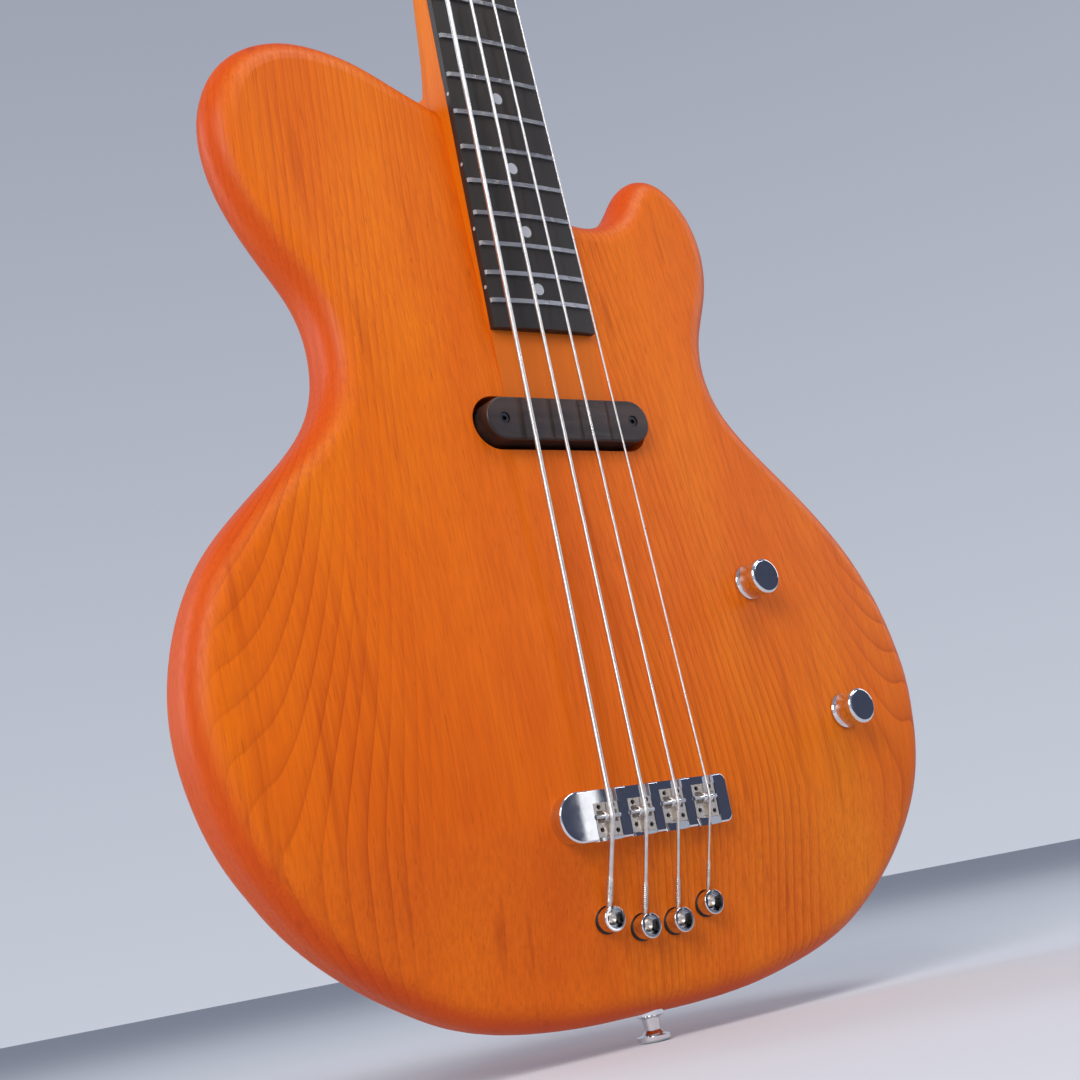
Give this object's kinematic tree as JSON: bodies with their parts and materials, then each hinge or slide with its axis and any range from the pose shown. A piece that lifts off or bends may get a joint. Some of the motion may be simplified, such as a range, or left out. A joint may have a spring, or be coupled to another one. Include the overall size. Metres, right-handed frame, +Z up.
{
  "type": "electric bass guitar",
  "caption": "Solid-body electric bass guitar with an arched satin wood body, single pickup, roller-saddle bridge, separate string anchors and enclosed geared tuners.",
  "frame": {"origin": "seat of the end strap pin, on the rim's mid-plane at the centreline", "axes": "+Z up the neck, +X to the treble side, -Y out of the playing face"},
  "size_m": [0.4355, 0.0883, 1.1387],
  "materials": {
    "body_wood": "satin",
    "neck_wood": "satin",
    "board_wood": "satin",
    "cover_wood": "satin",
    "chrome": "polished",
    "nickel": "satin",
    "steel": "satin",
    "string_steel": "bright",
    "brass": "satin",
    "black_metal": "satin",
    "black_plastic": "matte",
    "bone": "matte",
    "pearl": "gloss",
    "copper_coil": "satin",
    "rubber": "matte",
    "lead_jacket": "matte"
  },
  "bodies": {
    "instrument": {"body": "body_wood", "neck": "neck_wood", "fretboard": "board_wood", "frets": "steel", "fretboard_dots": "pearl", "side_dots": "pearl", "nut": "bone", "truss_rod": "steel", "truss_rod_cover": "black_plastic", "pickup_cover": "cover_wood", "pickup_baseplate": "black_plastic", "pickup_bobbin": "black_plastic", "pickup_coil": "copper_coil", "pickup_magnet": "black_metal", "pickup_screws": "black_metal", "bridge_base": "chrome", "bridge_screws": "steel", "saddles": "nickel", "saddle_screws": "black_metal", "saddle_axles": "steel", "saddle_rollers": "chrome", "string_anchors": "chrome", "anchor_washers": "rubber", "string_ball_ends": "nickel", "string_e": "string_steel", "string_a": "string_steel", "string_d": "string_steel", "string_g": "string_steel", "pots": "steel", "pot_nuts": "steel", "tone_capacitor": "pearl", "output_jack": "chrome", "jack_contacts": "brass", "pickup_lead": "lead_jacket", "jack_lead": "lead_jacket", "control_cover": "black_plastic", "control_cover_screws": "black_metal", "strap_pins": "chrome", "strap_pin_screws": "steel", "tuner_housings": "chrome", "tuner_screws": "steel", "tuner_bushings": "chrome"},
    "volume_control": {"volume_knob": "chrome", "volume_shaft": "brass"},
    "tone_control": {"tone_knob": "chrome", "tone_shaft": "brass"},
    "post_e": {"tuner_post_e": "chrome", "winding_e": "string_steel"},
    "key_e": {"tuner_key_e": "chrome"},
    "post_a": {"tuner_post_a": "chrome", "winding_a": "string_steel"},
    "key_a": {"tuner_key_a": "chrome"},
    "post_d": {"tuner_post_d": "chrome", "winding_d": "string_steel"},
    "key_d": {"tuner_key_d": "chrome"},
    "post_g": {"tuner_post_g": "chrome", "winding_g": "string_steel"},
    "key_g": {"tuner_key_g": "chrome"}
  },
  "joints": [
    {"name": "volume_turn", "type": "hinge", "parent": "instrument", "child": "volume_control", "pos_m": [0.0993, -0.026, 0.2006], "axis": [0, -1, 0], "range_deg": [-150, 150]},
    {"name": "tone_turn", "type": "hinge", "parent": "instrument", "child": "tone_control", "pos_m": [0.1474, -0.026, 0.1284], "axis": [0, -1, 0], "range_deg": [-150, 150]},
    {"name": "key_e_turn", "type": "hinge", "parent": "instrument", "child": "key_e", "pos_m": [-0.024, 0.02391, 0.99924], "axis": [-1, 0, 0], "continuous": true},
    {"name": "post_e_turn", "type": "hinge", "parent": "instrument", "child": "post_e", "pos_m": [-0.024, 0.0056, 1.0146], "axis": [0, -0.9799, 0.1994], "continuous": true},
    {"name": "key_a_turn", "type": "hinge", "parent": "instrument", "child": "key_a", "pos_m": [-0.024, 0.03587, 1.05804], "axis": [-1, 0, 0], "continuous": true},
    {"name": "post_a_turn", "type": "hinge", "parent": "instrument", "child": "post_a", "pos_m": [-0.024, 0.01756, 1.07339], "axis": [0, -0.9799, 0.1994], "continuous": true},
    {"name": "key_d_turn", "type": "hinge", "parent": "instrument", "child": "key_d", "pos_m": [0.024, 0.03587, 1.05804], "axis": [1, 0, 0], "continuous": true},
    {"name": "post_d_turn", "type": "hinge", "parent": "instrument", "child": "post_d", "pos_m": [0.024, 0.01756, 1.07339], "axis": [0, -0.9799, 0.1994], "continuous": true},
    {"name": "key_g_turn", "type": "hinge", "parent": "instrument", "child": "key_g", "pos_m": [0.024, 0.02391, 0.99924], "axis": [1, 0, 0], "continuous": true},
    {"name": "post_g_turn", "type": "hinge", "parent": "instrument", "child": "post_g", "pos_m": [0.024, 0.0056, 1.0146], "axis": [0, -0.9799, 0.1994], "continuous": true}
  ],
  "couplings": [
    {"joint": "post_e_turn", "follows": "key_e_turn", "ratio": 0.05},
    {"joint": "post_a_turn", "follows": "key_a_turn", "ratio": 0.05},
    {"joint": "post_d_turn", "follows": "key_d_turn", "ratio": -0.05},
    {"joint": "post_g_turn", "follows": "key_g_turn", "ratio": -0.05}
  ]
}
